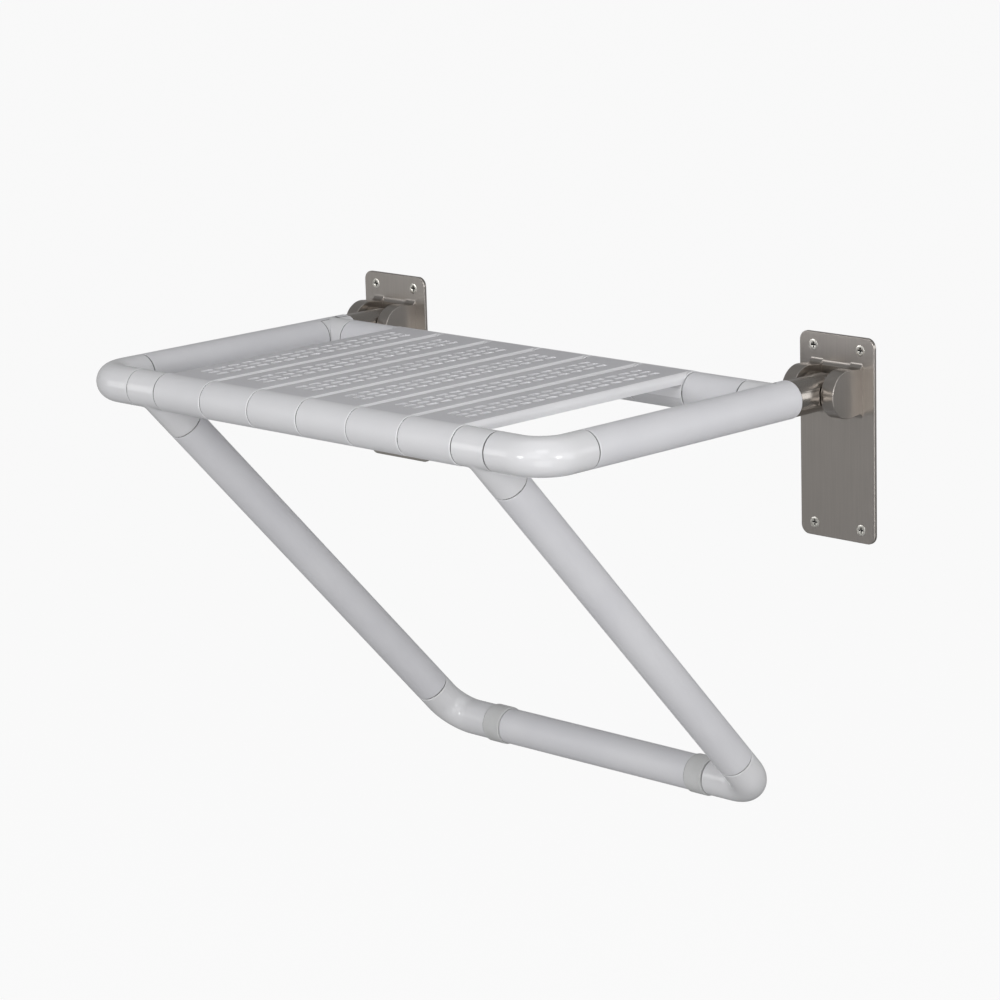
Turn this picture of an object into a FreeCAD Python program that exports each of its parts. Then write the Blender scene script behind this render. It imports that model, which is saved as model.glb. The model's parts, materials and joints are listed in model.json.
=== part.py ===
import FreeCAD, Part
import math
import os

from FreeCAD import Vector

# A shower seat that folds up against the wall, with a leg frame that braces it while it is down.
# The wall is the plane y = 0 and the room lies towards -Y. +X runs along the wall and +Z is up.
# The origin is the middle of the rectangle of the four outermost wall screws, on the wall plane.
# Lengths are in millimetres and angles in degrees. The model is drawn with the seat down.

os.makedirs("parts", exist_ok=True)

# Seat frame
arm_spacing = 573.0            # between the axes of the two arms
front_bar_from_wall = 383.5
rear_bar_from_wall = 91.0
sleeve_end_from_wall = 71.0    # where the arms' nylon ends and the bare knuckle starts
elbow_bar_reach = 55.0         # front corner, from the arm axis to the seam on the front bar
elbow_arm_reach = 50.0         # front corner, from the front bar axis to the seam on the arm

# Nylon sleeves over steel tube
tube_d = 27.0
tube_wall = 2.0
sleeve_d = 35.0
bend_radius = 28.0             # of tube and elbows, on the centre line
rim_round = 1.1                # small round on each sleeve's end
elbow_rim_round = 1.5          # the same on the corner pieces, which end softer
seam_gap = 0.8                 # between neighbouring sleeves
sleeve_fit = 0.05              # radial, bore of a sleeve on its tube
running_fit = 0.08             # radial, between pieces that turn on each other

# Slats
slat_count = 6
slat_gap = 0.9
wrap_d = 35.8                  # the eyes that close round the front and the rear bar
slat_height = 9.5
slat_skin = 3.6
slat_edge_round = 6.0
slat_wall = 3.0
slot_length = 12.9
slot_width = 6.0
slot_pitch = 16.6
slot_count = 15
slot_row_pitch = 10.8
slot_rows = 3
slat_rib_width = 2.0
slat_rib_depth = 4.0

# Rear bar joints
saddle_front_reach = 18.0      # from the rear bar axis to the saddle's front edge
saddle_branch_reach = 30.3     # from the arm axis to the seam on the rear bar
saddle_half_angle = 72.0       # of the arm's round that the saddle covers, each side of the branch

# Leg frame
tee_width = 38.3
tee_stem_length = 50.5
leg_length = 534.0             # bar to bar, seen from the side
leg_toe_in = 12.0              # how far each leg leans in from top to bottom
foot_leg_reach = 48.0          # bottom corner, from the bottom bar axis to the seam on the leg
foot_bar_reach = 55.7          # bottom corner, from the leg axis to the rubber ring
ring_d = 37.6
ring_width = 21.2
ring_round = 1.6
ring_wall_gap = 0.3            # between the rubber rings and the wall
collar_wall = 1.9              # steel collar inside each tee head
collar_lip = 2.0               # of the tee head past each end of the collar
collar_spigot_length = 46.0    # from the front bar axis down inside the leg
leg_tube_gap = 2.2             # from the collar's round to the end of the leg's tube

# Opening stop of the leg frame
stop_pin_d = 5.0
stop_pin_inner_r = 9.5         # where the pin starts, from the front bar axis
stop_pin_top_gap = 0.3         # below the tee head's bore
stop_slot_gap = 0.3            # beside and behind the pin
leg_travel = 39.9              # degrees, from braced to folded
stop_slot_spare = 4.0          # degrees past the folded place

# Wall plates
plate_width = 86.0
plate_thickness = 3.0
plate_corner_r = 9.0
plate_edge_round = 0.8
screw_spacing_x = 54.0
screw_spacing_z = 165.0
screw_margin_z = 12.0          # from a screw to the plate's top or bottom edge
hinge_above_origin = 46.0

# Fork and hinge on each plate
hinge_from_wall = 23.0
ear_r = 22.0
ear_thickness = 14.0
ear_foot = 20.5                # half height of an ear where it meets the plate
ear_blend_r = 5.0
ear_edge_round = 0.6
fork_gap = 31.6
fork_pad_thickness = 2.2
pad_half = 19.5                # half height of the pad between the ears
pad_cove_r = 6.0               # hollow round from the pad to the plate, above and below
pin_d = 10.0
pin_fit = 0.03
pin_head_d = 16.0
pin_head_thickness = 3.0
pin_head_recess = 0.6
pin_blind_depth = 9.0          # how deep the pin sits in the closed ear
pin_slot_width = 2.0
pin_slot_depth = 1.2
pin_slot_length = 11.0
bush_d = 14.0
washer_d = 27.0
washer_thickness = 0.65
grub_d = 5.0
grub_length = 6.0
grub_socket_d = 2.5
grub_socket_depth = 2.5

# Knuckle that joins each arm to its fork
neck_d = 33.8
neck_start = 24.2              # from the hinge axis to the full round of the neck
tongue_width = 30.0
tongue_d = 32.8
heel_depth = 13.0              # below the hinge axis
heel_gap = 0.3                 # to the fork's pad, with the seat down
spigot_length = 46.0
spigot_fit = 0.1
cross_pin_d = 5.0
cross_pin_from_end = 26.0      # from the tube's end to the pin across it
cross_pin_gap = 0.2            # each end, below the tube's surface
neck_round = 0.8

# Wall screws
screw_d = 5.0
screw_neck_d = 4.6             # below the head, where the thread hasn't started
screw_head_d = 10.4
screw_head_height = 2.7
screw_fit = 0.1
screw_in_wall = 12.0
screw_bevel = 0.8              # at the screw's end
cross_width = 1.3
cross_length = 5.6
cross_depth = 1.8

overrun = 5.0                  # how far a cutting shape runs past what it cuts

# Worked-out places
half_arm = arm_spacing / 2
front_y = -front_bar_from_wall
rear_y = -rear_bar_from_wall
hinge_y = -hinge_from_wall
arm_end_y = -sleeve_end_from_wall
seat_z = hinge_above_origin
arm_seam_y = front_y + elbow_arm_reach
bar_seam_x = half_arm - elbow_bar_reach
slat_block_half = bar_seam_x - tee_width
slat_pitch = 2 * slat_block_half / slat_count
slat_width = slat_pitch - slat_gap
tube_r = tube_d / 2
tube_bore_r = tube_r - tube_wall
sleeve_r = sleeve_d / 2
sleeve_bore_r = tube_r + sleeve_fit
wrap_r = wrap_d / 2
neck_r = neck_d / 2
tee_x = slat_block_half + tee_width / 2
foot_x = tee_x - leg_toe_in
foot_y = -(ring_d / 2 + ring_wall_gap)
leg_run = foot_y - front_y
leg_drop = math.sqrt(leg_length ** 2 - leg_run ** 2)
foot_z = seat_z - leg_drop
collar_bore_r = tube_r + running_fit
collar_r = collar_bore_r + collar_wall
leg_tube_start = collar_r + leg_tube_gap
plate_front_y = -plate_thickness
plate_top_z = screw_spacing_z / 2 + screw_margin_z
ear_inner = fork_gap / 2
ear_outer = ear_inner + ear_thickness
pad_front_y = plate_front_y - fork_pad_thickness
pin_r = pin_d / 2

X = Vector(1, 0, 0)
Y = Vector(0, 1, 0)
Z = Vector(0, 0, 1)


def rod(start, end, radius):
    """Solid round bar between two points."""
    span = end - start
    return Part.makeCylinder(radius, span.Length, start, span)


def tube(start, end, outer_r, inner_r):
    """Open tube between two points."""
    along = (end - start).normalize()
    bore = rod(start - along * overrun, end + along * overrun, inner_r)
    return rod(start, end, outer_r).cut(bore)


def bar(corner, leg_a, leg_b, radius):
    """Round bar with one bend. Each leg runs from the corner to one of the bar's ends."""
    towards_a = Vector(leg_a).normalize()
    towards_b = Vector(leg_b).normalize()
    turn = math.pi - towards_a.getAngle(towards_b)
    tangent = bend_radius * math.tan(turn / 2)
    start = corner + towards_a * tangent
    onward = towards_a * -1
    axis = onward.cross(towards_b).normalize()
    centre = start + axis.cross(onward) * bend_radius
    disc = Part.Face(Part.Wire(Part.makeCircle(radius, start, onward)))
    bend = disc.revolve(centre, axis, math.degrees(turn))
    first = rod(corner + leg_a, start, radius)
    second = rod(corner + towards_b * tangent, corner + leg_b, radius)
    return first.fuse([bend, second]).removeSplitter()


def along_leg(vector, extra):
    """The same vector, made longer."""
    return vector + Vector(vector).normalize() * extra


def rims_at(shape, places):
    """The circular edges whose centres are at the given places."""
    found = []
    for edge in shape.Edges:
        curve = edge.Curve
        if isinstance(curve, Part.Circle):
            if any((curve.Center - place).Length < rim_round / 2 for place in places):
                found.append(edge)
    return found


def soften(shape, places, radius, size):
    """Rounds the rims of one radius at the given places."""
    rims = [edge for edge in rims_at(shape, places) if abs(edge.Curve.Radius - radius) < rim_round / 2]
    return shape.makeFillet(size, rims)


def sleeve(start, end, outer_r=sleeve_r, inner_r=sleeve_bore_r):
    """Nylon sleeve with softened ends, half a seam short of both places."""
    along = (end - start).normalize()
    first = start + along * (seam_gap / 2)
    last = end - along * (seam_gap / 2)
    return soften(tube(first, last, outer_r, inner_r), (first, last), outer_r, rim_round)


def elbow(corner, leg_a, leg_b):
    """Nylon corner piece over a bend in the tube."""
    short_a = along_leg(leg_a, -seam_gap / 2)
    short_b = along_leg(leg_b, -seam_gap / 2)
    body = bar(corner, short_a, short_b, sleeve_r)
    bore = bar(corner, along_leg(leg_a, overrun), along_leg(leg_b, overrun), sleeve_bore_r)
    ends = (corner + short_a, corner + short_b)
    return soften(body.cut(bore), ends, sleeve_r, elbow_rim_round)


def box(low, high):
    """Box between its lowest and its highest corner."""
    size = high - low
    return Part.makeBox(size.x, size.y, size.z, low)


def place(x=0.0, y=0.0, z=0.0):
    return Vector(x, y, z)


# Wall plate and fork

def ear_outline(x):
    """Side outline of an ear: rounded nose, two flanks and a concave blend into the plate."""
    hinge = place(x, hinge_y, seat_z)
    outlines = []
    for side in (1, -1):
        flank = place(x, plate_front_y - ear_blend_r, seat_z + side * ear_foot)
        reach = flank - hinge
        swing = math.atan2(side * reach.z, reach.y) + math.acos(ear_r / reach.Length)
        outwards = place(0, math.cos(swing), side * math.sin(swing))
        touch = hinge + outwards * ear_r
        centre = flank + Z * (side * ear_blend_r / math.sin(swing))
        foot = centre - outwards * ear_blend_r
        edge = centre + Y * ear_blend_r
        middle = centre + (Y - outwards).normalize() * ear_blend_r
        outlines.append((touch, foot, middle, edge))
    upper, lower = outlines
    nose = hinge - Y * ear_r
    back = [place(x, plate_front_y / 2, point.z) for point in (upper[3], lower[3])]
    edges = [
        Part.Arc(upper[0], nose, lower[0]).toShape(),
        Part.makeLine(lower[0], lower[1]),
        Part.Arc(lower[1], lower[2], lower[3]).toShape(),
        Part.makeLine(lower[3], back[1]),
        Part.makeLine(back[1], back[0]),
        Part.makeLine(back[0], upper[3]),
        Part.Arc(upper[3], upper[2], upper[1]).toShape(),
        Part.makeLine(upper[1], upper[0]),
    ]
    return Part.Face(Part.Wire(edges))


def pad_outline(x):
    """Side outline of the pad between the ears, with a hollow round into the plate above and below."""
    turn = math.acos((pad_cove_r - fork_pad_thickness) / pad_cove_r)
    coves = []
    for side in (1, -1):
        rim_z = seat_z + side * (pad_half + pad_cove_r * math.sin(turn))
        cove = []
        for swing in (0, turn / 2, turn):
            out = pad_cove_r * (1 - math.cos(swing))
            cove.append(place(x, plate_front_y - out, rim_z - side * pad_cove_r * math.sin(swing)))
        coves.append(cove)
    upper, lower = coves
    back = [place(x, plate_front_y / 2, cove[0].z) for cove in coves]
    edges = [
        Part.Arc(*upper).toShape(),
        Part.makeLine(upper[2], lower[2]),
        Part.Arc(*reversed(lower)).toShape(),
        Part.makeLine(lower[0], back[1]),
        Part.makeLine(back[1], back[0]),
        Part.makeLine(back[0], upper[0]),
    ]
    return Part.Face(Part.Wire(edges))


def ear(x_low):
    body = ear_outline(x_low).extrude(X * ear_thickness)
    rims = []
    for edge in body.Edges:
        middle = edge.valueAt((edge.FirstParameter + edge.LastParameter) / 2)
        flat = abs(edge.BoundBox.XLength) < ear_edge_round / 2
        if flat and middle.y < plate_front_y:
            rims.append(edge)
    return body.makeFillet(ear_edge_round, rims)


def screw_places(arm_x):
    places = []
    for side in (-1, 1):
        for level in (-1, 1):
            places.append(place(arm_x + side * screw_spacing_x / 2, 0, level * screw_spacing_z / 2))
    return places


def countersink(centre, extra):
    """Space that a wall screw takes in the plate, larger all round by the extra."""
    head_r = screw_head_d / 2 + extra
    shank_r = screw_d / 2 + extra
    head_end = plate_front_y + screw_head_height
    head = Part.makeCone(head_r, shank_r, screw_head_height, centre + Y * plate_front_y, Y)
    shank = rod(centre + Y * (head_end - overrun / 2), centre + Y * overrun, shank_r)
    mouth = rod(centre + Y * (plate_front_y - overrun), centre + Y * plate_front_y, head_r)
    return head.fuse([shank, mouth])


def wall_plate(arm_x):
    """Plate, pad and two ears in one casting."""
    half = plate_width / 2
    plate = box(place(arm_x - half, plate_front_y, -plate_top_z), place(arm_x + half, 0, plate_top_z))
    corners = [edge for edge in plate.Edges if abs(edge.BoundBox.YLength - plate_thickness) < plate_edge_round]
    plate = plate.makeFillet(plate_corner_r, corners)
    front = [edge for edge in plate.Edges if abs(edge.BoundBox.YMax - plate_front_y) < plate_edge_round / 2]
    plate = plate.makeFillet(plate_edge_round, front)
    pad_width = 2 * (ear_outer - ear_edge_round)
    pad = pad_outline(arm_x - pad_width / 2).extrude(X * pad_width)
    body = plate.fuse([pad, ear(arm_x + ear_inner), ear(arm_x - ear_outer)]).removeSplitter()

    hinge = place(arm_x, hinge_y, seat_z)
    pin_end = hinge + X * (ear_inner + pin_blind_depth)
    bore = rod(hinge - X * (ear_outer + overrun), pin_end, pin_r + pin_fit)
    recess_floor = hinge - X * (ear_outer - pin_head_recess - pin_head_thickness)
    head_room = rod(hinge - X * (ear_outer + overrun), recess_floor, pin_head_d / 2 + pin_fit)
    grub_hole = rod(grub_top(arm_x), grub_top(arm_x) - Z * (ear_r + overrun), grub_d / 2 + pin_fit)
    holes = [countersink(centre, screw_fit) for centre in screw_places(arm_x)]
    return body.cut([bore, head_room, grub_hole] + holes)


# Hinge of each arm

def grub_top(arm_x):
    """Where the grub screw bears on the pin, in the closed ear."""
    return place(arm_x + ear_inner + pin_blind_depth / 2, hinge_y, seat_z - pin_r - pin_fit)


def hinge_pin(arm_x):
    hinge = place(arm_x, hinge_y, seat_z)
    head_out = hinge - X * (ear_outer - pin_head_recess)
    head_in = head_out + X * pin_head_thickness
    shaft = rod(head_in, hinge + X * (ear_inner + pin_blind_depth - seam_gap), pin_r)
    slot = box(head_out - X * overrun - Y * (pin_slot_length / 2) - Z * (pin_slot_width / 2),
               head_out + X * pin_slot_depth + Y * (pin_slot_length / 2) + Z * (pin_slot_width / 2))
    return rod(head_out, head_in, pin_head_d / 2).fuse(shaft).removeSplitter().cut(slot)


def grub_screw(arm_x):
    top = grub_top(arm_x)
    low = top - Z * grub_length
    socket = rod(low - Z * overrun, low + Z * grub_socket_depth, grub_socket_d / 2)
    return rod(low, top, grub_d / 2).cut(socket)


def thrust_washers(arm_x):
    """Plastic washers on the pin, one against the inside of each ear."""
    hinge = place(arm_x, hinge_y, seat_z)
    washers = []
    for side in (1, -1):
        outside = hinge + X * (side * ear_inner)
        inside = outside - X * (side * washer_thickness)
        washers.append(tube(outside, inside, washer_d / 2, pin_r + pin_fit))
    return washers


def hinge_bush(arm_x):
    hinge = place(arm_x, hinge_y, seat_z)
    half = X * (tongue_width / 2)
    return tube(hinge - half, hinge + half, bush_d / 2, pin_r + running_fit)


def hinge_knuckle(arm_x):
    """Round bar with a flat-sided tongue on the pin, a heel that stops the seat level, and a spigot."""
    hinge = place(arm_x, hinge_y, seat_z)
    half = tongue_width / 2
    arm_end = place(arm_x, arm_end_y, seat_z)
    neck_begin = hinge - Y * neck_start
    neck = soften(rod(neck_begin, arm_end, neck_r), (neck_begin,), neck_r, neck_round)
    flat_bar = rod(hinge, neck_begin - Y * neck_round, neck_r)
    slab = box(hinge + place(-half, -neck_start - neck_round, -neck_r), hinge + place(half, 0, neck_r))
    barrel = rod(hinge - X * half, hinge + X * half, tongue_d / 2)
    heel_back = pad_front_y - heel_gap
    heel = box(hinge + place(-half, 0, -heel_depth), place(arm_x + half, heel_back, seat_z))
    spigot = rod(arm_end, arm_end - Y * spigot_length, tube_bore_r - spigot_fit)
    body = neck.fuse([flat_bar.common(slab), barrel, heel, spigot]).removeSplitter()
    bore = rod(hinge - X * (half + overrun), hinge + X * (half + overrun), bush_d / 2)
    return body.cut([bore, cross_pin_space(arm_x)])


def cross_pin_middle(arm_x):
    return place(arm_x, arm_end_y - cross_pin_from_end, seat_z)


def cross_pin_space(arm_x):
    middle = cross_pin_middle(arm_x)
    return rod(middle - Z * (tube_r + overrun), middle + Z * (tube_r + overrun), cross_pin_d / 2)


def cross_pin(arm_x):
    """Pin that holds the knuckle's spigot in the arm's tube, under the sleeve."""
    middle = cross_pin_middle(arm_x)
    half = Z * (tube_r - cross_pin_gap)
    return rod(middle - half, middle + half, cross_pin_d / 2)


# Wall screws

def wall_screw(centre):
    head_face = centre + Y * plate_front_y
    neck_top = head_face + Y * screw_head_height
    bevel_start = centre + Y * (screw_in_wall - screw_bevel)
    head = Part.makeCone(screw_head_d / 2, screw_neck_d / 2, screw_head_height, head_face, Y)
    neck = rod(neck_top, centre, screw_neck_d / 2)
    shank = rod(centre, bevel_start, screw_d / 2)
    bevel = Part.makeCone(screw_d / 2, screw_d / 2 - screw_bevel, screw_bevel, bevel_start, Y)
    body = head.fuse([neck, shank, bevel]).removeSplitter()
    for across, up in ((cross_length, cross_width), (cross_width, cross_length)):
        half = place(across / 2, 0, up / 2)
        body = body.cut(box(head_face - half - Y * overrun, head_face + half + Y * cross_depth))
    return body


# Seat frame

def seat_tube_solid(radius, extra):
    """The bent bar of the two arms and the front bar, with its wall ends longer by the extra."""
    parts = []
    for side in (-1, 1):
        corner = place(side * half_arm, front_y, seat_z)
        to_wall = place(0, arm_end_y - front_y + extra, 0)
        to_middle = place(-side * half_arm, 0, 0)
        parts.append(bar(corner, to_wall, to_middle, radius))
    return parts[0].fuse(parts[1]).removeSplitter()


def stop_pin_ends(side):
    axis_point = place(side * tee_x, front_y, seat_z)
    top_r = collar_r + sleeve_fit - stop_pin_top_gap
    return axis_point - Y * stop_pin_inner_r, axis_point - Y * top_r


def stop_pin(side):
    """Pin in the front bar that the collar's slot runs on."""
    start, end = stop_pin_ends(side)
    return rod(start, end, stop_pin_d / 2)


def seat_core_tube():
    body = seat_tube_solid(tube_r, 0).cut(seat_tube_solid(tube_bore_r, overrun))
    cuts = [cross_pin_space(side * half_arm) for side in (-1, 1)]
    cuts += [stop_pin(side) for side in (-1, 1)]
    return body.cut(cuts)


def saddle_wedge(side, extra):
    """The share of the arm's round that the saddle takes, larger all round by the extra."""
    spread = math.radians(saddle_half_angle)
    far = 2 * sleeve_d
    apex = place(side * half_arm + side * extra / math.sin(spread), rear_y - saddle_front_reach - extra, seat_z)
    upper = apex + place(-side * far, 0, far * math.tan(spread))
    lower = apex + place(-side * far, 0, -far * math.tan(spread))
    face = Part.Face(Part.makePolygon([apex, upper, lower, apex]))
    return face.extrude(Y * (arm_end_y + overrun - apex.y))


def branch_end(side):
    return place(side * (half_arm - saddle_branch_reach), rear_y, seat_z)


def arm_sleeve(side):
    start = place(side * half_arm, arm_seam_y, seat_z)
    end = place(side * half_arm, arm_end_y, seat_z)
    branch = rod(place(side * half_arm, rear_y, seat_z), branch_end(side), sleeve_r + seam_gap)
    return sleeve(start, end).cut([saddle_wedge(side, seam_gap), branch])


def rear_saddle(side):
    """Nylon tee on the inner side of an arm, flush with its sleeve, with a branch for the rear bar."""
    middle = place(side * half_arm, rear_y, seat_z)
    end = place(side * half_arm, arm_end_y - seam_gap / 2, seat_z)
    shell = rod(place(side * half_arm, rear_y - saddle_front_reach, seat_z), end, sleeve_r)
    shell = shell.common(saddle_wedge(side, 0))
    branch_stop = branch_end(side) + X * (side * seam_gap / 2)
    branch = soften(rod(middle, branch_stop, sleeve_r), (branch_stop,), sleeve_r, rim_round)
    arm_room = rod(place(side * half_arm, front_y, seat_z), place(side * half_arm, 0, seat_z), sleeve_bore_r)
    bar_room = rod(middle, middle - X * (side * half_arm), sleeve_bore_r)
    return shell.fuse(branch).removeSplitter().cut([arm_room, bar_room])


def rear_core_tube():
    """Straight tube welded between the two arms' tubes."""
    start = place(-half_arm, rear_y, seat_z)
    end = place(half_arm, rear_y, seat_z)
    arms = [rod(place(side * half_arm, front_y, seat_z), place(side * half_arm, 0, seat_z), tube_r)
            for side in (-1, 1)]
    return tube(start, end, tube_r, tube_bore_r).cut(arms)


def rear_sleeve(side):
    return sleeve(place(side * slat_block_half, rear_y, seat_z), branch_end(side))


# Slats

def slot_prism(x, y, top, bottom):
    """Drain slot with round ends, its length along the slat."""
    half_w = slot_width / 2
    half_l = slot_length / 2 - half_w
    middle = box(place(x - half_w, y - half_l, bottom), place(x + half_w, y + half_l, top))
    ends = [rod(place(x, y + end * half_l, bottom), place(x, y + end * half_l, top), half_w) for end in (-1, 1)]
    return middle.fuse(ends)


def slat(index):
    """Channel slat with drain slots and an eye round each bar."""
    x = -slat_block_half + slat_pitch / 2 + index * slat_pitch
    half = slat_width / 2
    top = seat_z + wrap_r
    bottom = top - slat_height
    plank = box(place(x - half, front_y, bottom), place(x + half, rear_y, top))
    long_edges = [edge for edge in plank.Edges
                  if edge.BoundBox.YLength > slat_width and edge.BoundBox.ZMin > top - rim_round]
    plank = plank.makeFillet(slat_edge_round, long_edges)
    under = top - slat_skin
    room = box(place(x - half + slat_wall, front_y, bottom - overrun), place(x + half - slat_wall, rear_y, under))
    plank = plank.cut(room)
    ribs = []
    for step in range(slot_rows - 1):
        rib_x = x + (step - (slot_rows - 2) / 2) * slot_row_pitch
        ribs.append(box(place(rib_x - slat_rib_width / 2, front_y, under - slat_rib_depth),
                        place(rib_x + slat_rib_width / 2, rear_y, under + slat_skin / 2)))
    eyes = []
    bores = []
    for bar_y in (front_y, rear_y):
        ends = [place(x - half, bar_y, seat_z), place(x + half, bar_y, seat_z)]
        eyes.append(soften(rod(ends[0], ends[1], wrap_r), ends, wrap_r, rim_round))
        bores.append(rod(ends[0] - X * overrun, ends[1] + X * overrun, sleeve_bore_r))
    slots = []
    for row in range(slot_rows):
        for step in range(slot_count):
            slot_x = x + (row - (slot_rows - 1) / 2) * slot_row_pitch
            slot_y = (front_y + rear_y) / 2 + (step - (slot_count - 1) / 2) * slot_pitch
            slots.append(slot_prism(slot_x, slot_y, top + overrun, under - slat_rib_depth - overrun))
    body = plank.fuse(ribs + eyes)
    return body.cut(bores + slots)


# Leg frame

def leg_points(side):
    return place(side * tee_x, front_y, seat_z), place(side * foot_x, foot_y, foot_z)


def leg_direction(side):
    top, foot = leg_points(side)
    return (foot - top).normalize()


def leg_at(side, distance):
    """Point on a leg's axis, by its distance from the front bar axis."""
    return leg_points(side)[0] + leg_direction(side) * distance


def leg_axis_length():
    top, foot = leg_points(1)
    return (foot - top).Length


def front_tee(side):
    """Nylon tee that turns on the front bar and carries a leg."""
    inner = side * slat_block_half
    outer = side * bar_seam_x
    start = place(inner + side * seam_gap / 2, front_y, seat_z)
    end = place(outer - side * seam_gap / 2, front_y, seat_z)
    top = leg_points(side)[0]
    stem_end = leg_at(side, tee_stem_length - seam_gap / 2)
    stem = soften(rod(top, stem_end, sleeve_r), (stem_end,), sleeve_r, rim_round)
    head = soften(rod(start, end, sleeve_r), (start, end), sleeve_r, rim_round)
    body = head.fuse(stem)
    collar_start, collar_end = collar_ends(side)
    rooms = [
        rod(start - X * (side * overrun), end + X * (side * overrun), collar_bore_r),
        rod(collar_start, collar_end, collar_r + sleeve_fit),
        rod(top, leg_at(side, tee_stem_length + overrun), sleeve_bore_r),
    ]
    return body.cut(rooms)


def collar_ends(side):
    start = place(side * (slat_block_half + collar_lip), front_y, seat_z)
    end = place(side * (bar_seam_x - collar_lip), front_y, seat_z)
    return start, end


def stop_slot(side):
    """Arc that the stop pin sweeps in the collar, from braced to folded, with room all round."""
    axis_point = leg_points(side)[0]
    half_width = stop_pin_d / 2 + stop_slot_gap
    outer = collar_r + overrun
    outline = [axis_point + place(x, r, 0) for x, r in
               ((-half_width, tube_bore_r), (half_width, tube_bore_r), (half_width, outer), (-half_width, outer))]
    section = Part.Face(Part.makePolygon(outline + outline[:1]))
    sweep = leg_travel + stop_slot_spare
    section.rotate(axis_point, X, 180 - sweep)
    ends = []
    for angle in (math.pi, math.pi - math.radians(sweep)):
        outwards = place(0, math.cos(angle), math.sin(angle))
        ends.append(rod(axis_point + outwards * tube_bore_r, axis_point + outwards * outer, half_width))
    return section.revolve(axis_point, X, sweep).fuse(ends)


def leg_collar(side):
    """Steel collar on the front bar with a spigot down into the leg's tube."""
    start, end = collar_ends(side)
    ring = rod(start, end, collar_r)
    spigot = rod(leg_points(side)[0], leg_at(side, collar_spigot_length), tube_bore_r - spigot_fit)
    bore = rod(start - X * (side * overrun), end + X * (side * overrun), collar_bore_r)
    return ring.fuse(spigot).cut([bore, stop_slot(side), leg_pin_space(side)])


def leg_pin_middle(side):
    return leg_at(side, (leg_tube_start + collar_spigot_length) / 2)


def leg_pin_direction(side):
    return leg_direction(side).cross(X).normalize()


def leg_pin_space(side):
    middle = leg_pin_middle(side)
    half = leg_pin_direction(side) * (tube_r + overrun)
    return rod(middle - half, middle + half, cross_pin_d / 2)


def leg_pin(side):
    """Pin that holds the collar's spigot in the leg's tube, under the tee."""
    middle = leg_pin_middle(side)
    half = leg_pin_direction(side) * (tube_r - cross_pin_gap)
    return rod(middle - half, middle + half, cross_pin_d / 2)


def leg_tube_solid(radius, extra):
    parts = []
    for side in (-1, 1):
        foot = leg_points(side)[1]
        up = leg_at(side, leg_tube_start - extra) - foot
        parts.append(bar(foot, up, place(-side * foot_x, 0, 0), radius))
    return parts[0].fuse(parts[1]).removeSplitter()


def leg_core_tube():
    body = leg_tube_solid(tube_r, 0).cut(leg_tube_solid(tube_bore_r, overrun))
    return body.cut([leg_pin_space(side) for side in (-1, 1)])


def leg_sleeve(side):
    return sleeve(leg_at(side, tee_stem_length), leg_at(side, leg_axis_length() - foot_leg_reach))


def foot_elbow(side):
    foot = leg_points(side)[1]
    return elbow(foot, leg_direction(side) * -foot_leg_reach, X * (-side * foot_bar_reach))


def ring_edges(side):
    outer = side * (foot_x - foot_bar_reach)
    inner = outer - side * ring_width
    return place(outer, foot_y, foot_z), place(inner, foot_y, foot_z)


def rubber_ring(side):
    outer, inner = ring_edges(side)
    body = tube(outer, inner, ring_d / 2, sleeve_bore_r)
    return soften(body, (outer, inner), ring_d / 2, ring_round)


def bottom_sleeve():
    return sleeve(ring_edges(-1)[1], ring_edges(1)[1])


def write(name, solids):
    """Writes one node, as one solid or as a group of them."""
    group = solids if isinstance(solids, list) else [solids]
    shape = group[0] if len(group) == 1 else Part.makeCompound(group)
    if not shape.isValid():
        print("not valid:", name)
    print(name, len(shape.Solids), "solid(s)", round(shape.Volume), "mm3")
    shape.exportStep("parts/" + name + ".step")


def main():
    for side, word in ((-1, "left"), (1, "right")):
        arm_x = side * half_arm
        write("wall_plate_" + word, wall_plate(arm_x))
        write("wall_screws_" + word, [wall_screw(centre) for centre in screw_places(arm_x)])
        write("hinge_pin_" + word, hinge_pin(arm_x))
        write("hinge_grub_screw_" + word, grub_screw(arm_x))
        write("hinge_washers_" + word, thrust_washers(arm_x))
        write("hinge_knuckle_" + word, hinge_knuckle(arm_x))
        write("hinge_bush_" + word, hinge_bush(arm_x))
        write("arm_sleeve_" + word, arm_sleeve(side))
        write("rear_saddle_" + word, rear_saddle(side))
        write("rear_sleeve_" + word, rear_sleeve(side))
        corner = place(arm_x, front_y, seat_z)
        write("front_elbow_" + word, elbow(corner, Y * elbow_arm_reach, X * (-side * elbow_bar_reach)))
        write("front_tee_" + word, front_tee(side))
        write("leg_collar_" + word, leg_collar(side))
        write("leg_sleeve_" + word, leg_sleeve(side))
        write("foot_elbow_" + word, foot_elbow(side))
        write("rubber_ring_" + word, rubber_ring(side))
    write("seat_core_tube", seat_core_tube())
    write("rear_core_tube", rear_core_tube())
    write("knuckle_pins", [cross_pin(side * half_arm) for side in (-1, 1)])
    write("leg_stop_pins", [stop_pin(side) for side in (-1, 1)])
    for index in range(slat_count):
        write("slat_" + str(index + 1), slat(index))
    write("leg_core_tube", leg_core_tube())
    write("leg_pins", [leg_pin(side) for side in (-1, 1)])
    write("bottom_sleeve", bottom_sleeve())


main()
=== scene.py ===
import json
import math

import bmesh
import bpy
from mathutils import Matrix, Vector


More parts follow.
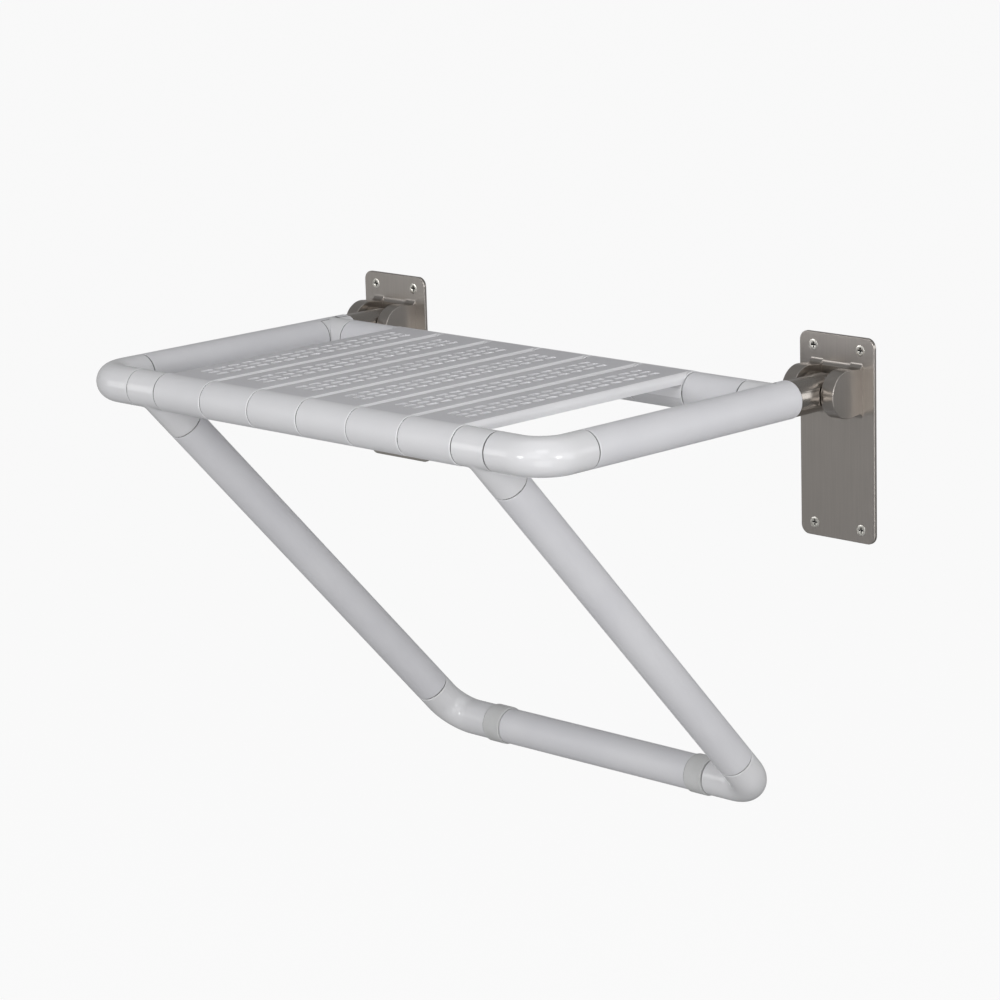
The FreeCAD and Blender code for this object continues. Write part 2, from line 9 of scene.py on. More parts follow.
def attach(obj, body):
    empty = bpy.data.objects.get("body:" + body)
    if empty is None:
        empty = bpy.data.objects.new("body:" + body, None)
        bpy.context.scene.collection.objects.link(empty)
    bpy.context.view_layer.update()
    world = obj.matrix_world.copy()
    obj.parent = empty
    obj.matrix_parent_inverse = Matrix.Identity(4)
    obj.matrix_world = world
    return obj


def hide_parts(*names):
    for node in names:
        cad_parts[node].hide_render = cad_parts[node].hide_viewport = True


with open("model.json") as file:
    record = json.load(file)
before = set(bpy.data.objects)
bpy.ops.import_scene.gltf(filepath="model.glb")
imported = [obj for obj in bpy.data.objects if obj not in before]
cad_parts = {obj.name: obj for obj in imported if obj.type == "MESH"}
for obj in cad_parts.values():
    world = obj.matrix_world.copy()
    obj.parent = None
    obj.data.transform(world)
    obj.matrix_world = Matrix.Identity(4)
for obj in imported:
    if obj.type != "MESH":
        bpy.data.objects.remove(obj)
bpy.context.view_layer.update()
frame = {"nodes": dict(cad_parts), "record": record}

# A wall-mounted shower seat, dressed for its picture. Lengths are in metres and angles in degrees.
# The wall is the plane y = 0, the room lies towards -Y, and +Z is up.

SIDES = (("left", -1), ("right", 1))
SLAT_COUNT = 6
ACROSS = Vector((1.0, 0.0, 0.0))   # along the front bar

# The tees between the front bar and the legs, as in the construction
FRONT_BAR = (-0.3835, 0.046)   # the place of its axis, y and z
LEG_TOP_X = 0.21235            # where each leg's axis meets the front bar's
LEG_FOOT = (0.20035, -0.0191, -0.34434)   # where it meets the bottom bar's
TEE_WIDTH = 0.0375
TEE_REACH = 0.0501             # from the front bar's axis to the end of the stem
TUBE_RADIUS = 0.0175
HEAD_BORE = 0.01358            # radius of the bore along the head
HEAD_RECESS = 0.01553          # radius of the wider room for the collar
HEAD_LIP = 0.0020              # what is left of the head at each end of that room
STEM_BORE = 0.01355            # radius of the bore along the stem
HEAD_CUT = 2 * TEE_WIDTH       # how long the shapes are that cut the two bores
STEM_CUT = 1.5 * TEE_REACH
BAR_SIDES = 160                # flats round a bar
TEE_VOXEL = 0.0007
BLEND_REACH = 0.007            # how far from the crease the stem and the head run together
SKIN_ROUNDS = 3                # rounds of smoothing all over the tee
CREASE_ROUNDS = 60             # rounds of smoothing in its crease
ROUND_SHARE = 0.5              # how far each round moves a corner towards its neighbours

# The slats: between their eyes, a face that looks up is the top, painted darker as shade, and all
# others are edges, painted paler as highlight
SLAT_FRONT = -0.3660
SLAT_REAR = -0.1085
SLAT_TOP_NORMAL = 0.96
# faces on an eye's rim that look this far along X take the paler finish, a painted highlight
LIT_RIM_NORMAL = (0.35, 0.95)      # how far a face on an eye's rounded rim looks along X
# the slat's plain finish, its top with painted shade, its edges with a painted highlight
SLAT_FINISHES = ("slat", "slat_top", "slat_edge")
EYE, SHADED_TOP, LIT_EDGE = range(3)      # the same finishes by number

# The wall screws' cross recesses, painted dark as shade
SCREW_FACE = -0.0030           # the heads' faces, flush with the plates
SCREW_MIDDLE_X = 0.2865
SCREW_HALF_X = 0.027
SCREW_HALF_Z = 0.0825
RECESS_RIM = 0.00015
RECESS_DEPTH = 0.0019
RECESS_REACH = 0.0033

# Softened edges, each with the width for edges that stand out and for edges in a corner
MERGE_DISTANCE = 0.00001
FLAT_ANGLE = 0.3               # faces that meet more flatly than this are joined
SHARP_ANGLE = 35.0             # edges sharper than this are rounded
ROUND_STEPS = 3
SCREW_STEPS = 2
SCREW_EDGES = (0.0003, 0.0001)
SLAT_EDGES = (0.0009, 0.0003)
SOFT_PIECES = (                # node, the two widths, finish
    ("wall_plate", 0.0004, 0.0006, "plate"),
    ("hinge_knuckle", 0.0006, 0.0006, "knuckle"),
    ("rubber_ring", 0.0006, 0.0006, "rubber"),
)

# Painted shade in the seams: ambient occlusion darkens the colour where pieces nearly touch
SEAM_REACH = 0.0025
SEAM_SAMPLES = 12
SEAM_DARKEST_AT = 0.35         # share of open sky over a place in a seam
SEAM_UNSHADED_AT = 0.78
SEAM_SHADE = 0.22

# Finishes: a darker and a lighter shade of each
SHADES = {
    "sleeve": ((0.735, 0.735, 0.765), (0.775, 0.775, 0.800)),
    "gloss": ((0.765, 0.765, 0.785), (0.800, 0.800, 0.815)),
    "slat": ((0.735, 0.735, 0.755), (0.770, 0.770, 0.788)),
    # slat tops painted darker as shade; edges, rims and slot walls painted paler as highlight
    "slat_top": ((0.648, 0.645, 0.671), (0.677, 0.674, 0.700)),
    "slat_edge": ((0.91, 0.91, 0.93), (0.93, 0.93, 0.95)),
    "rubber": ((0.605, 0.612, 0.607), (0.645, 0.648, 0.650)),
    "acetal": ((0.80, 0.80, 0.77), (0.86, 0.86, 0.83)),
    "plate": ((0.460, 0.430, 0.400), (0.492, 0.459, 0.428)),
    "knuckle": ((0.430, 0.400, 0.370), (0.470, 0.438, 0.405)),
    "screw": ((0.78, 0.76, 0.70), (0.84, 0.82, 0.76)),
    # near black: painted shade in the screws' cross recesses
    "recess": ((0.05, 0.05, 0.05), (0.09, 0.09, 0.09)),
    # the core tube's own steel, darkened to near black as painted shade where it shows in the
    # seams
    "core": ((0.10, 0.10, 0.10), (0.16, 0.16, 0.16)),
}
NYLON_IOR = 1.5
GLOSS_IOR = 1.52
STEEL_ROUGHNESS = {"plate": 0.28, "knuckle": 0.22, "screw": 0.26, "recess": 0.5, "core": 0.45}
STEEL_SPREAD = (-0.005, 0.015)   # how far that roughness varies over a surface
EVEN = (1.0, 1.0, 1.0)           # patterns: stretched along no axis, or along one
ALONG_X = (0.05, 1.0, 1.0)
ALONG_Y = (1.0, 0.03, 1.0)
ALONG_Z = (1.0, 1.0, 0.02)
NO_TURN = (0.0, 0.0, 0.0)
QUARTER_TURN = (0.0, 0.0, 90.0)
SHADE_SPAN = (0.35, 0.65)        # what part of a noise pattern two shades are spread over
VALUE_SPAN = (0.30, 0.70)        # and what part of it two values are spread over
FINISH_OF = {                    # by the node's name without its last word
    "wall_plate": "plate", "wall_screws": "screw", "hinge_pin": "screw",
    "hinge_grub_screw": "screw", "hinge_washers": "acetal", "hinge_bush": "acetal",
    "hinge_knuckle": "knuckle", "arm_sleeve": "arm", "rear_saddle": "gloss",
    "rear_sleeve": "across", "front_elbow": "gloss", "front_tee": "across",
    "leg_sleeve": "leg", "foot_elbow": "gloss", "rubber_ring": "rubber",
    "bottom": "across", "slat": "slat",
}
OTHER_FINISH = "core"

# Camera, at the photograph's place
CAMERA_PLACE = (2.32215, -2.48166, 0.68449)
CAMERA_AZIMUTH = 44.8696
CAMERA_ELEVATION = 12.9367
CAMERA_ROLL = -1.6529
CAMERA_LENS = 130.144          # both in millimetres
CAMERA_SENSOR = 36.0
CAMERA_NEAREST = 0.05
CAMERA_FARTHEST = 200.0

# Lights stand round the seat, by azimuth and elevation as seen from its front right corner
LIGHT_AIM = (0.10, -0.30, -0.03)
LIGHTS = {                     # azimuth, elevation, distance, size, watts
    "left_softbox": (-3.0, 7.7, 3.0, 0.6, 14.0),
    "right_softbox": (75.0, 6.5, 3.0, 0.6, 13.0),
    "front_softbox": (25.0, 20.0, 1.8, 0.9, 3.7),
    "top_softbox": (45.0, 41.0, 1.6, 0.6, 3.0),
    "low_reflector": (45.0, -25.0, 1.6, 0.9, 4.7),
    "side_softbox": (105.0, 5.0, 1.8, 0.9, 2.6),
    "side_reflector": (88.0, 12.0, 1.6, 0.7, 2.0),
    "far_left_reflector": (-45.0, 8.0, 1.8, 0.7, 3.2),
    "far_right_reflector": (135.0, 9.0, 1.8, 0.6, 1.7),
    "ceiling_reflector": (0.0, 85.0, 1.8, 1.2, 5.0),
}
WORLD_BANDS = (                # elevation, brightness
    (-90.0, 0.23), (-27.0, 0.23), (-23.0, 0.335), (-2.0, 0.335),
    (2.0, 0.31), (23.0, 0.31), (27.0, 0.24), (90.0, 0.24),
)
DARK_SIDE = (135.0, -13.0)     # azimuth and elevation of the unlit corner of the studio
DARK_EDGE = 0.80               # cosine of the angle from its middle to its edge
DARK_SHADE = 0.60
BACKDROP = 0.940               # brightness of the floor and of the backdrop behind it
FLOOR_LEVEL = -0.42
FLOOR_HALF = 30.0
FLOOR_SHADE = 0.02             # what the floor takes from the lights, beside its own brightness
FLOOR_ROUGHNESS = 0.9

# A mixer node's colour sockets have one name between them, so they are found by number
MIX_FROM, MIX_TO, MIX_RESULT = 6, 7, 2


# Material building blocks

def grey(shade):
    return (shade, shade, shade, 1.0)


def new_material(name):
    """A material with its nodes, its links and its shader."""
    material = bpy.data.materials.new(name)
    material.use_nodes = True
    nodes = material.node_tree.nodes
    shader = nodes["Principled BSDF"]
    return material, nodes, material.node_tree.links, shader


def surface_place(nodes, links, stretch=EVEN, turn=NO_TURN):
    """Object coordinates, turned and stretched for a pattern with a direction."""
    place = nodes.new("ShaderNodeTexCoord")
    mapping = nodes.new("ShaderNodeMapping")
    mapping.inputs["Rotation"].default_value = [math.radians(angle) for angle in turn]
    mapping.inputs["Scale"].default_value = stretch
    links.new(place.outputs["Object"], mapping.inputs["Vector"])
    return mapping.outputs["Vector"]


def noise(nodes, links, vector, scale, detail, roughness=0.5):
    """A cloudy pattern from 0 to 1."""
    texture = nodes.new("ShaderNodeTexNoise")
    texture.inputs["Scale"].default_value = scale
    texture.inputs["Detail"].default_value = detail
    texture.inputs["Roughness"].default_value = roughness
    links.new(vector, texture.inputs["Vector"])
    return texture.outputs["Fac"]


def shaded(nodes, links, factor, shades):
    """Two shades mixed by a pattern."""
    mixer = nodes.new("ShaderNodeValToRGB")
    for stop, position, shade in zip(mixer.color_ramp.elements, SHADE_SPAN, shades):
        stop.position = position
        stop.color = (*shade, 1.0)
    links.new(factor, mixer.inputs["Fac"])
    return mixer.outputs["Color"]


def between(nodes, links, factor, low, high):
    """A number that a pattern moves between two values."""
    spread = nodes.new("ShaderNodeMapRange")
    spread.inputs["From Min"].default_value = VALUE_SPAN[0]
    spread.inputs["From Max"].default_value = VALUE_SPAN[1]
    spread.inputs["To Min"].default_value = low
    spread.inputs["To Max"].default_value = high
    links.new(factor, spread.inputs["Value"])
    return spread.outputs["Result"]


def bump(nodes, links, height, strength, depth, under=None):
    """Relief that follows a pattern, laid over other relief if there is any."""
    relief = nodes.new("ShaderNodeBump")
    relief.inputs["Strength"].default_value = strength
    relief.inputs["Distance"].default_value = depth
    links.new(height, relief.inputs["Height"])
    if under is not None:
        links.new(under, relief.inputs["Normal"])
    return relief.outputs["Normal"]


def painted_shade_in_seams(nodes, links, colour):
    """Painted shade: ambient occlusion darkens the colour where two pieces nearly touch."""
    nearness = nodes.new("ShaderNodeAmbientOcclusion")
    nearness.samples = SEAM_SAMPLES
    nearness.inputs["Distance"].default_value = SEAM_REACH
    spread = nodes.new("ShaderNodeMapRange")
    spread.inputs["From Min"].default_value = SEAM_DARKEST_AT
    spread.inputs["From Max"].default_value = SEAM_UNSHADED_AT
    mixer = nodes.new("ShaderNodeMix")
    mixer.data_type = "RGBA"
    links.new(nearness.outputs["AO"], spread.inputs["Value"])
    links.new(spread.outputs["Result"], mixer.inputs["Factor"])
    mixer.inputs[MIX_FROM].default_value = grey(SEAM_SHADE)
    links.new(colour, mixer.inputs[MIX_TO])
    return mixer.outputs[MIX_RESULT]


# Finishes

def nylon_sleeve_finish(name, turn=NO_TURN):
    """Extruded nylon: faint draw lines along X, or turned to another direction."""
    material, nodes, links, shader = new_material(name)
    along = surface_place(nodes, links, ALONG_X, turn)
    even = surface_place(nodes, links)
    clouds = noise(nodes, links, even, scale=14.0, detail=2.0)
    lines = noise(nodes, links, along, scale=700.0, detail=3.0)
    pores = noise(nodes, links, even, scale=1800.0, detail=2.0)
    colour = shaded(nodes, links, clouds, SHADES["sleeve"])
    # painted shade in the seams, from ambient occlusion
    links.new(painted_shade_in_seams(nodes, links, colour), shader.inputs["Base Color"])
    links.new(between(nodes, links, lines, low=0.40, high=0.50), shader.inputs["Roughness"])
    fine = bump(nodes, links, pores, strength=0.12, depth=0.0002)
    relief = bump(nodes, links, lines, strength=0.10, depth=0.0002, under=fine)
    links.new(relief, shader.inputs["Normal"])
    shader.inputs["IOR"].default_value = NYLON_IOR
    return material


def nylon_gloss_finish():
    """Moulded nylon with a shine, and a slow waviness from the mould."""
    material, nodes, links, shader = new_material("moulded nylon, shiny")
    even = surface_place(nodes, links)
    clouds = noise(nodes, links, even, scale=18.0, detail=2.0)
    waves = noise(nodes, links, even, scale=90.0, detail=1.0)
    colour = shaded(nodes, links, clouds, SHADES["gloss"])
    # painted shade in the seams, from ambient occlusion
    links.new(painted_shade_in_seams(nodes, links, colour), shader.inputs["Base Color"])
    links.new(between(nodes, links, waves, low=0.11, high=0.15), shader.inputs["Roughness"])
    links.new(bump(nodes, links, waves, strength=0.05, depth=0.0004), shader.inputs["Normal"])
    shader.inputs["IOR"].default_value = GLOSS_IOR
    return material


def slat_finish(word, name, painted_seam_shade=False):
    """Moulded nylon with the fine matt grain of a spark-eroded mould."""
    material, nodes, links, shader = new_material(name)
    even = surface_place(nodes, links)
    clouds = noise(nodes, links, even, scale=12.0, detail=2.0)
    grain = noise(nodes, links, even, scale=1400.0, detail=3.0, roughness=0.6)
    # the shades of the tops and the edges are painted shade and a painted highlight
    colour = shaded(nodes, links, clouds, SHADES[word])
    # the slat's eyes can take painted shade in their seams, from ambient occlusion
    if painted_seam_shade:
        colour = painted_shade_in_seams(nodes, links, colour)
    links.new(colour, shader.inputs["Base Color"])
    links.new(between(nodes, links, grain, low=0.44, high=0.58), shader.inputs["Roughness"])
    links.new(bump(nodes, links, grain, strength=0.22, depth=0.0002), shader.inputs["Normal"])
    shader.inputs["IOR"].default_value = NYLON_IOR
    return material


def rubber_finish():
    """Soft rubber with a fine dull grain."""
    material, nodes, links, shader = new_material("pale grey rubber")
    even = surface_place(nodes, links)
    clouds = noise(nodes, links, even, scale=60.0, detail=3.0)
    grain = noise(nodes, links, even, scale=1500.0, detail=2.0)
    colour = shaded(nodes, links, clouds, SHADES["rubber"])
    links.new(colour, shader.inputs["Base Color"])
    links.new(between(nodes, links, grain, low=0.62, high=0.78), shader.inputs["Roughness"])
    links.new(bump(nodes, links, grain, strength=0.25, depth=0.0002), shader.inputs["Normal"])
    return material


def steel_finish(word, name, stretch=ALONG_Z):
    """Stainless steel with fine polishing lines in one direction."""
    material, nodes, links, shader = new_material(name)
    along = surface_place(nodes, links, stretch)
    even = surface_place(nodes, links)
    lines = noise(nodes, links, along, scale=900.0, detail=4.0, roughness=0.6)
    clouds = noise(nodes, links, even, scale=35.0, detail=3.0)
    smoothest, roughest = (STEEL_ROUGHNESS[word] + change for change in STEEL_SPREAD)
    links.new(shaded(nodes, links, lines, SHADES[word]), shader.inputs["Base Color"])
    links.new(between(nodes, links, clouds, smoothest, roughest), shader.inputs["Roughness"])
    links.new(bump(nodes, links, lines, strength=0.05, depth=0.0001), shader.inputs["Normal"])
    shader.inputs["Metallic"].default_value = 1.0
    return material


def acetal_finish():
    """Turned plastic in its natural milky colour."""
    material, nodes, links, shader = new_material("natural acetal")
    even = surface_place(nodes, links)
    rings = noise(nodes, links, even, scale=500.0, detail=2.0)
    links.new(shaded(nodes, links, rings, SHADES["acetal"]), shader.inputs["Base Color"])
    links.new(between(nodes, links, rings, low=0.30, high=0.42), shader.inputs["Roughness"])
    links.new(bump(nodes, links, rings, strength=0.10, depth=0.0001), shader.inputs["Normal"])
    return material


def make_finishes():
    return {
        "across": nylon_sleeve_finish("drawn nylon, along X"),
        "arm": nylon_sleeve_finish("drawn nylon, along Y", QUARTER_TURN),
        "leg": nylon_sleeve_finish("drawn nylon, along the legs", QUARTER_TURN),
        "gloss": nylon_gloss_finish(),
        "slat": slat_finish("slat", "moulded nylon, matt grain", painted_seam_shade=True),
        # the slat tops take painted shade, their edges and slots a painted highlight
        "slat_top": slat_finish("slat_top", "moulded nylon, slat tops, painted shade"),
        "slat_edge": slat_finish("slat_edge", "moulded nylon, edges and slots, painted highlight"),
        "rubber": rubber_finish(),
        "plate": steel_finish("plate", "brushed stainless steel"),
        "knuckle": steel_finish("knuckle", "turned stainless steel", ALONG_Y),
        "screw": steel_finish("screw", "bright stainless screws"),
        "recess": steel_finish("recess", "screw recess, painted shade"),
        "core": steel_finish("core", "drawn steel tube, darkened as seam shade"),
        "acetal": acetal_finish(),
    }


def dress_cad_nodes():
    """Gives each node of the construction its finish."""
    for name, node in frame["nodes"].items():
        stem = name.rsplit("_", 1)[0]
        finish = finishes[FINISH_OF.get(stem, OTHER_FINISH)]
        if not node.material_slots:
            node.data.materials.append(finish)
        for slot in node.material_slots:
            slot.material = finish


def coat(piece, *words):
    """Gives a piece its finishes. All its faces take the first until they are told otherwise."""
    piece.data.materials.clear()
    for word in words:
        piece.data.materials.append(finishes[word])


# Pieces with softened edges

def activate(piece):
    """Selects a piece alone, for the operators."""
    bpy.ops.object.select_all(action="DESELECT")
    piece.select_set(True)
    bpy.context.view_layer.objects.active = piece


def apply_all(piece):
    """Works a piece's modifiers into its mesh."""
    activate(piece)
    for modifier in list(piece.modifiers):
        bpy.ops.object.modifier_apply(modifier=modifier.name)


def smooth_surfaces(piece):
    """Shades a piece smooth, apart from its sharp edges."""
    activate(piece)
    bpy.ops.object.shade_smooth_by_angle(angle=math.radians(SHARP_ANGLE))


def copy_of(name):
    """A node's mesh in a piece of its own, with doubled corners merged and flat faces joined."""
    node = frame["nodes"][name]
    piece = bpy.data.objects.new("soft_" + name, node.data.copy())
    bpy.context.scene.collection.objects.link(piece)
    activate(piece)
    if piece.data.has_custom_normals:
        bpy.ops.mesh.customdata_custom_splitnormals_clear()
    bpy.ops.object.mode_set(mode="EDIT")
    bpy.ops.mesh.select_all(action="SELECT")
    bpy.ops.mesh.remove_doubles(threshold=MERGE_DISTANCE)
    bpy.ops.mesh.dissolve_limited(angle_limit=math.radians(FLAT_ANGLE))
    bpy.ops.object.mode_set(mode="OBJECT")
    return piece


def weigh_sharp_edges(piece, outer, inner):
    """Notes on each sharp edge how wide it is to be rounded, as a share of the widest."""
    mesh = bmesh.new()
    mesh.from_mesh(piece.data)
    layers = mesh.edges.layers.float
    weight = layers.get("bevel_weight_edge") or layers.new("bevel_weight_edge")
    for edge in mesh.edges:
        if len(edge.link_faces) == 2 and edge.calc_face_angle() > math.radians(SHARP_ANGLE):
            edge[weight] = (outer if edge.is_convex else inner) / max(outer, inner)
    mesh.to_mesh(piece.data)
    mesh.free()


def soften_edges(piece, outer, inner, steps=ROUND_STEPS, flat=True):
    """Rounds the sharp edges: those that stand out by one width, those in a corner by another."""
    weigh_sharp_edges(piece, outer, inner)
    round_off = piece.modifiers.new("round", "BEVEL")
    round_off.limit_method = "WEIGHT"
    round_off.width = max(outer, inner)
    round_off.segments = steps
    round_off.use_clamp_overlap = True
    apply_all(piece)
    smooth_surfaces(piece)
    if flat:
        even = piece.modifiers.new("even", "WEIGHTED_NORMAL")
        even.keep_sharp = True
        apply_all(piece)


def replace_node(piece, name):
    """Puts the piece in its node's place and on the same body."""
    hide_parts(name)
    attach(piece, body_of_node[name])


def wall_screws(word):
    """The screws, with soft heads and a cross recess painted dark as shade."""
    name = "wall_screws_" + word
    piece = copy_of(name)
    soften_edges(piece, *SCREW_EDGES, SCREW_STEPS, flat=False)
    coat(piece, "screw", "recess")
    # the recess faces take the near-black finish, painted shade
    for face in piece.data.polygons:
        face.material_index = int(in_recess(face.center))
    replace_node(piece, name)


def in_recess(place):
    """Whether a place on a screw belongs to the walls or the bottom of its cross recess."""
    depth = place.y - SCREW_FACE
    sideways = abs(abs(abs(place.x) - SCREW_MIDDLE_X) - SCREW_HALF_X)
    upright = abs(abs(place.z) - SCREW_HALF_Z)
    return RECESS_RIM < depth < RECESS_DEPTH and math.hypot(sideways, upright) < RECESS_REACH


def slat(name):
    """A slat with round edges: its top painted darker as shade, and its edges, slot walls and the
    eyes' rims that look along X painted paler as highlight.
    """
    piece = copy_of(name)
    soften_edges(piece, *SLAT_EDGES)
    coat(piece, *SLAT_FINISHES)
    # painted shade on the top, a painted highlight on the edges, slot walls and the eyes' rims
    # that look along X
    for face in piece.data.polygons:
        if SLAT_FRONT < face.center.y < SLAT_REAR:
            face.material_index = SHADED_TOP if face.normal.z > SLAT_TOP_NORMAL else LIT_EDGE
        else:
            on_lit_rim = LIT_RIM_NORMAL[0] < face.normal.x < LIT_RIM_NORMAL[1]
            face.material_index = LIT_EDGE if on_lit_rim else EYE
    replace_node(piece, name)


# The front tees

def round_bar(name, middle, along, length, radius):
    """A round bar by its middle and direction."""
    turn = Vector(along).to_track_quat("Z", "Y").to_euler()
    bpy.ops.object.select_all(action="DESELECT")
    bpy.ops.mesh.primitive_cylinder_add(vertices=BAR_SIDES, radius=radius, depth=length,
                                        location=middle, rotation=turn)
    bar = bpy.context.active_object
    bar.name = name
    bpy.ops.object.transform_apply(location=True, rotation=True, scale=True)
    return bar


def combine(piece, tool, operation):
    """Joins another shape to a piece, or cuts it away."""
    change = piece.modifiers.new("combine", "BOOLEAN")
    change.operation = operation
    change.object = tool
    change.solver = "EXACT"
    apply_all(piece)
    bpy.data.objects.remove(tool)


def crease_weights(piece, top, along):
    """A vertex group that fades out with the distance from the crease between stem and head."""
    group = piece.vertex_groups.new(name="crease")
    for vertex in piece.data.vertices:
        offset = vertex.co - top
        from_head = (offset - ACROSS * offset.dot(ACROSS)).length - TUBE_RADIUS
        from_stem = (offset - along * offset.dot(along)).length - TUBE_RADIUS
        away = max(abs(from_head), abs(from_stem))
        if offset.dot(along) > 0 and away < BLEND_REACH:
            group.add([vertex.index], 1.0 - away / BLEND_REACH, "REPLACE")


def relax(piece, name, group, rounds):
    """Smooths a piece all over, or where a vertex group says."""
    smooth = piece.modifiers.new(name, "SMOOTH")
    smooth.factor = ROUND_SHARE
    smooth.iterations = rounds
    smooth.vertex_group = group


def front_tee(word, side):
    """A moulded tee whose stem runs softly into its head."""
    name = "front_tee_" + word
    top = Vector((side * LEG_TOP_X, *FRONT_BAR))
    foot = Vector((side * LEG_FOOT[0], *LEG_FOOT[1:]))
    along = (foot - top).normalized()
    piece = round_bar("soft_" + name, top, ACROSS, TEE_WIDTH, TUBE_RADIUS)
    stem = round_bar("stem", top + along * (TEE_REACH / 2), along, TEE_REACH, TUBE_RADIUS)
    combine(piece, stem, "UNION")
    even = piece.modifiers.new("even", "REMESH")
    even.mode = "VOXEL"
    even.voxel_size = TEE_VOXEL
    apply_all(piece)
    crease_weights(piece, top, along)
    relax(piece, "skin", "", SKIN_ROUNDS)
    relax(piece, "crease", "crease", CREASE_ROUNDS)
    apply_all(piece)
    bore = round_bar("bore", top, ACROSS, HEAD_CUT, HEAD_BORE)
    combine(piece, bore, "DIFFERENCE")
    room = round_bar("room", top, ACROSS, TEE_WIDTH - 2 * HEAD_LIP, HEAD_RECESS)
    combine(piece, room, "DIFFERENCE")
    hole = round_bar("hole", top + along * TEE_REACH, along, STEM_CUT, STEM_BORE)
    combine(piece, hole, "DIFFERENCE")
    smooth_surfaces(piece)
    coat(piece, "gloss")
    replace_node(piece, name)


def make_soft_pieces():
    for word, side in SIDES:
        front_tee(word, side)
        wall_screws(word)
        for stem, outer, inner, finish in SOFT_PIECES:
            name = stem + "_" + word
            piece = copy_of(name)
            soften_edges(piece, outer, inner)
            coat(piece, finish)
            replace_node(piece, name)
    for index in range(SLAT_COUNT):
        slat("slat_%d" % (index + 1))


# Stage, lights and camera

def make_floor():
    """A pale floor that is as bright as the backdrop and casts nothing on the seat."""
    bpy.ops.object.select_all(action="DESELECT")
    bpy.ops.mesh.primitive_plane_add(size=2 * FLOOR_HALF, location=(0, 0, FLOOR_LEVEL))
    floor = bpy.context.active_object
    floor.name = "floor"
    material, *_, shader = new_material("pale floor")
    shader.inputs["Base Color"].default_value = grey(FLOOR_SHADE)
    shader.inputs["Roughness"].default_value = FLOOR_ROUGHNESS
    shader.inputs["Specular IOR Level"].default_value = 0.0
    shader.inputs["Emission Color"].default_value = grey(1.0)
    shader.inputs["Emission Strength"].default_value = BACKDROP
    floor.data.materials.append(material)
    floor.visible_diffuse = False
    floor.visible_glossy = False
    floor.visible_shadow = False


def direction(azimuth, elevation):
    """The way towards a place round the seat: azimuth 0 is straight out from the wall."""
    turn, rise = math.radians(azimuth), math.radians(elevation)
    outwards = math.cos(rise)
    return Vector((math.sin(turn) * outwards, -math.cos(turn) * outwards, math.sin(rise)))


def make_lights():
    """Square softboxes and reflectors that all face the same place."""
    aim = Vector(LIGHT_AIM)
    for name, (azimuth, elevation, distance, size, power) in LIGHTS.items():
        towards = direction(azimuth, elevation)
        data = bpy.data.lights.new(name, "AREA")
        data.shape = "SQUARE"
        data.size = size
        data.energy = power
        light = bpy.data.objects.new(name, data)
        bpy.context.scene.collection.objects.link(light)
        light.location = aim + towards * distance
        light.rotation_euler = towards.to_track_quat("Z", "Y").to_euler()
        light.visible_camera = False


def world_bands(nodes, links, place):
    """Grey that is a little brighter round the horizon."""
    split = nodes.new("ShaderNodeSeparateXYZ")
    rise = nodes.new("ShaderNodeMapRange")
    rise.inputs["From Min"].default_value = -1.0
    rise.inputs["From Max"].default_value = 1.0
    bands = nodes.new("ShaderNodeValToRGB")
    links.new(place, split.inputs["Vector"])
    links.new(split.outputs["Z"], rise.inputs["Value"])
    links.new(rise.outputs["Result"], bands.inputs["Fac"])
    stops = bands.color_ramp.elements
    while len(stops) < len(WORLD_BANDS):
        stops.new(1.0)
    for stop, (elevation, shade) in zip(stops, WORLD_BANDS):
        stop.position = (math.sin(math.radians(elevation)) + 1) / 2
        stop.color = grey(shade)
    return bands.outputs["Color"]


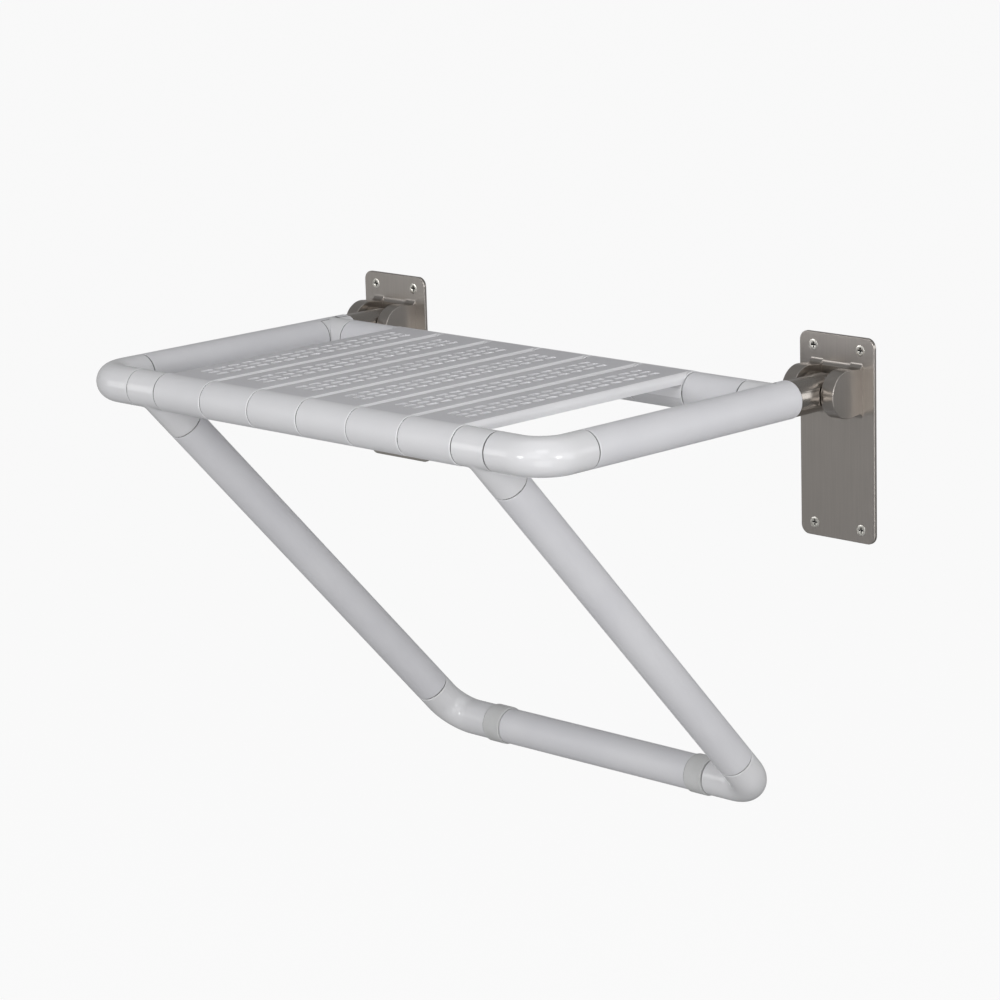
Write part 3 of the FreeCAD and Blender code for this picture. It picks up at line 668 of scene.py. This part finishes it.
def dark_corner(nodes, links, place):
    """Brightness that falls off towards the unlit corner of the studio."""
    towards = nodes.new("ShaderNodeVectorMath")
    towards.operation = "DOT_PRODUCT"
    towards.inputs[1].default_value = direction(*DARK_SIDE)
    shade = nodes.new("ShaderNodeMapRange")
    shade.inputs["From Min"].default_value = DARK_EDGE
    shade.inputs["To Min"].default_value = 1.0
    shade.inputs["To Max"].default_value = DARK_SHADE
    links.new(place, towards.inputs[0])
    links.new(towards.outputs["Value"], shade.inputs["Value"])
    return shade.outputs["Result"]


def make_world():
    """Grey surroundings that light the seat, and a pale backdrop that the camera sees in them."""
    world = bpy.data.worlds.new("studio")
    bpy.context.scene.world = world
    world.use_nodes = True
    nodes, links = world.node_tree.nodes, world.node_tree.links
    place = nodes.new("ShaderNodeTexCoord").outputs["Generated"]
    surroundings = nodes["Background"]
    links.new(world_bands(nodes, links, place), surroundings.inputs["Color"])
    links.new(dark_corner(nodes, links, place), surroundings.inputs["Strength"])
    backdrop = nodes.new("ShaderNodeBackground")
    backdrop.inputs["Color"].default_value = grey(BACKDROP)
    seen = nodes.new("ShaderNodeLightPath")
    either = nodes.new("ShaderNodeMixShader")
    links.new(seen.outputs["Is Camera Ray"], either.inputs["Fac"])
    links.new(surroundings.outputs["Background"], either.inputs[1])
    links.new(backdrop.outputs["Background"], either.inputs[2])
    links.new(either.outputs["Shader"], nodes["World Output"].inputs["Surface"])


def make_camera():
    """The camera, turned by its azimuth, elevation and roll."""
    back = direction(CAMERA_AZIMUTH, CAMERA_ELEVATION)
    turn, roll = math.radians(CAMERA_AZIMUTH), math.radians(CAMERA_ROLL)
    level = Vector((math.cos(turn), math.sin(turn), 0.0))
    upright = back.cross(level)
    right = level * math.cos(roll) + upright * math.sin(roll)
    up = upright * math.cos(roll) - level * math.sin(roll)
    data = bpy.data.cameras.new("camera")
    data.lens = CAMERA_LENS
    data.sensor_width = CAMERA_SENSOR
    data.clip_start = CAMERA_NEAREST
    data.clip_end = CAMERA_FARTHEST
    camera = bpy.data.objects.new("camera", data)
    bpy.context.scene.collection.objects.link(camera)
    axes = Matrix((right, up, back)).transposed().to_4x4()
    camera.matrix_world = Matrix.Translation(CAMERA_PLACE) @ axes
    bpy.context.scene.camera = camera


bodies = frame["record"]["behaviour"]["bodies"]
body_of_node = {node: body for body, nodes in bodies.items() for node in nodes}

finishes = make_finishes()
dress_cad_nodes()
make_soft_pieces()
make_floor()
make_world()
make_lights()
make_camera()
bpy.context.scene.view_settings.view_transform = "Standard"
